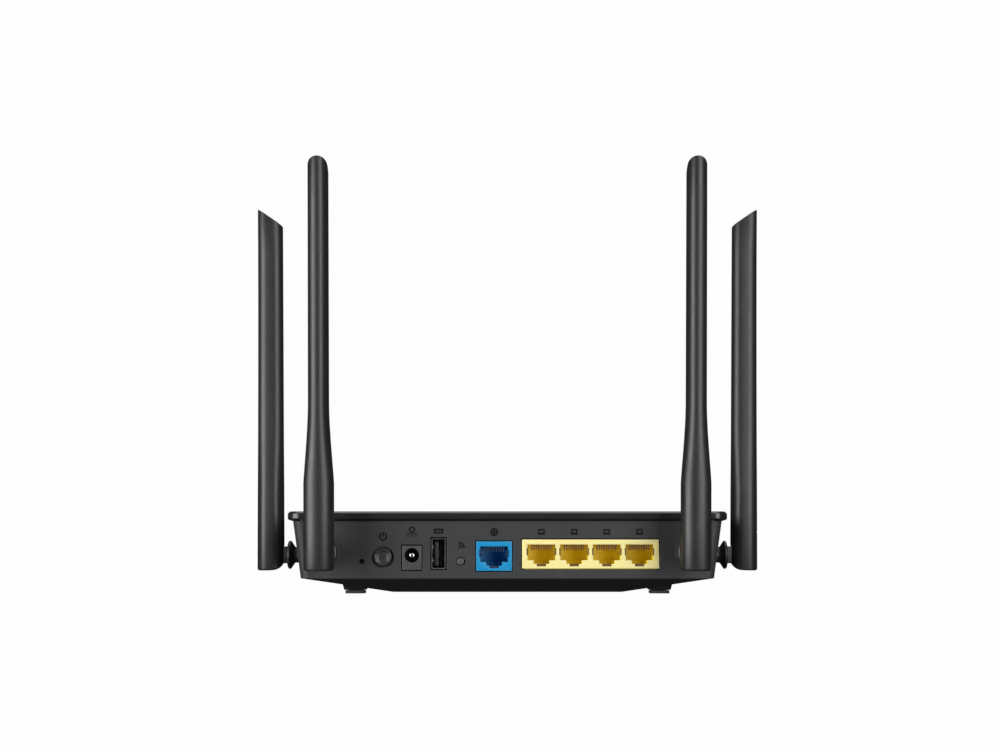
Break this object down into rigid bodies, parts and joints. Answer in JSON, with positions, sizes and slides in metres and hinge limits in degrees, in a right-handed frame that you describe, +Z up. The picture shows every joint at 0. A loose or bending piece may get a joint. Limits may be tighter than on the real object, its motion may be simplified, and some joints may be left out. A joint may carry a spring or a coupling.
{
  "type": "wireless router",
  "caption": "Flat network router with whip antennas that swivel and tilt, and a rear panel with network, USB and power sockets and push buttons.",
  "frame": {"origin": "bottom centre of the bounding box, on the surface that the feet stand on", "axes": "+Z up, -Y out of the port panel, +X to the right when looking at the port panel"},
  "size_m": [0.2424, 0.1768, 0.1839],
  "materials": {
    "lid_plastic": "satin black",
    "black_plastic": "fine matt black grain",
    "grey_plastic": "plain dark grey",
    "dark_plastic": "plain black moulding compound",
    "yellow_plastic": "plain yellow",
    "blue_plastic": "plain blue",
    "foot_rubber": "matt",
    "clear_plastic": "milky light guide",
    "circuit_board": "green solder mask",
    "cable_jacket": "smooth jacket",
    "steel": "bright steel",
    "tin_plate": "tin-plated sheet",
    "gold_plate": "gold-flashed spring brass",
    "aluminium": "plain extruded"
  },
  "bodies": {
    "case": {"antenna_cable_rear_left": "cable_jacket", "antenna_cable_rear_right": "cable_jacket", "antenna_cable_side_left": "cable_jacket", "antenna_cable_side_right": "cable_jacket", "bottom_case": "black_plastic", "case_screw_front_left": "steel", "case_screw_front_right": "steel", "case_screw_rear_left": "steel", "case_screw_rear_right": "steel", "dc_jack_body": "grey_plastic", "dc_jack_pin": "steel", "foot_front_left": "foot_rubber", "foot_front_right": "foot_rubber", "foot_rear_left": "foot_rubber", "foot_rear_right": "foot_rubber", "heat_sink": "aluminium", "input_capacitor": "dark_plastic", "lan_contacts_1": "gold_plate", "lan_contacts_2": "gold_plate", "lan_contacts_3": "gold_plate", "lan_contacts_4": "gold_plate", "lan_jack_block": "yellow_plastic", "lan_magnetics": "dark_plastic", "light_pipe": "clear_plastic", "main_board": "circuit_board", "main_chip": "dark_plastic", "memory_chip": "dark_plastic", "pairing_switch_body": "dark_plastic", "power_switch_body": "dark_plastic", "reset_switch_body": "dark_plastic", "shield_can_left": "tin_plate", "shield_can_right": "tin_plate", "switch_chip": "dark_plastic", "top_cover": "lid_plastic", "usb_shell": "tin_plate", "usb_tongue": "dark_plastic", "wan_contacts": "gold_plate", "wan_jack": "blue_plastic", "wan_magnetics": "dark_plastic"},
    "power_button": {"power_button": "black_plastic"},
    "pairing_button": {"pairing_button": "grey_plastic"},
    "reset_plunger": {"reset_plunger": "black_plastic"},
    "collar_rear_left": {"collar_rear_left": "black_plastic"},
    "whip_rear_left": {"whip_rear_left": "black_plastic", "hinge_pin_rear_left": "steel", "antenna_strip_rear_left": "circuit_board"},
    "collar_rear_right": {"collar_rear_right": "black_plastic"},
    "whip_rear_right": {"whip_rear_right": "black_plastic", "hinge_pin_rear_right": "steel", "antenna_strip_rear_right": "circuit_board"},
    "collar_side_left": {"collar_side_left": "black_plastic"},
    "whip_side_left": {"whip_side_left": "black_plastic", "hinge_pin_side_left": "steel", "antenna_strip_side_left": "circuit_board"},
    "collar_side_right": {"collar_side_right": "black_plastic"},
    "whip_side_right": {"whip_side_right": "black_plastic", "hinge_pin_side_right": "steel", "antenna_strip_side_right": "circuit_board"}
  },
  "joints": [
    {"name": "swivel_rear_left", "type": "hinge", "parent": "case", "child": "collar_rear_left", "pos_m": [-0.0784, -0.0601, 0.0173], "axis": [0, 1, 0], "range_deg": [-89, 60]},
    {"name": "swivel_rear_right", "type": "hinge", "parent": "case", "child": "collar_rear_right", "pos_m": [0.0784, -0.0601, 0.0173], "axis": [0, 1, 0], "range_deg": [-60, 89]},
    {"name": "swivel_side_left", "type": "hinge", "parent": "case", "child": "collar_side_left", "pos_m": [-0.09482, 0.0149, 0.0164], "axis": [1, 0, 0], "range_deg": [-90, 90]},
    {"name": "swivel_side_right", "type": "hinge", "parent": "case", "child": "collar_side_right", "pos_m": [0.09482, 0.0149, 0.0164], "axis": [-1, 0, 0], "range_deg": [-90, 90]},
    {"name": "tilt_rear_left", "type": "hinge", "parent": "collar_rear_left", "child": "whip_rear_left", "pos_m": [-0.0784, -0.078, 0.0173], "axis": [0.9999, 0, 0.0122], "range_deg": [-1.5, 88.5]},
    {"name": "tilt_rear_right", "type": "hinge", "parent": "collar_rear_right", "child": "whip_rear_right", "pos_m": [0.0784, -0.078, 0.0173], "axis": [0.9999, 0, -0.0122], "range_deg": [-1.5, 88.5]},
    {"name": "tilt_side_left", "type": "hinge", "parent": "collar_side_left", "child": "whip_side_left", "pos_m": [-0.11272, 0.0149, 0.0164], "axis": [0, -1, 0], "range_deg": [-0.86, 89.14]},
    {"name": "tilt_side_right", "type": "hinge", "parent": "collar_side_right", "child": "whip_side_right", "pos_m": [0.11272, 0.0149, 0.0164], "axis": [0, 1, 0], "range_deg": [-0.86, 89.14]},
    {"name": "power_push", "type": "slide", "parent": "case", "child": "power_button", "axis": [0, 1, 0], "range_m": [0, 0.0015], "stiffness_N_per_m": 400},
    {"name": "pairing_push", "type": "slide", "parent": "case", "child": "pairing_button", "axis": [0, 1, 0], "range_m": [0, 0.0005], "stiffness_N_per_m": 1200},
    {"name": "reset_push", "type": "slide", "parent": "case", "child": "reset_plunger", "axis": [0, 1, 0], "range_m": [0, 0.0005], "stiffness_N_per_m": 1200}
  ]
}
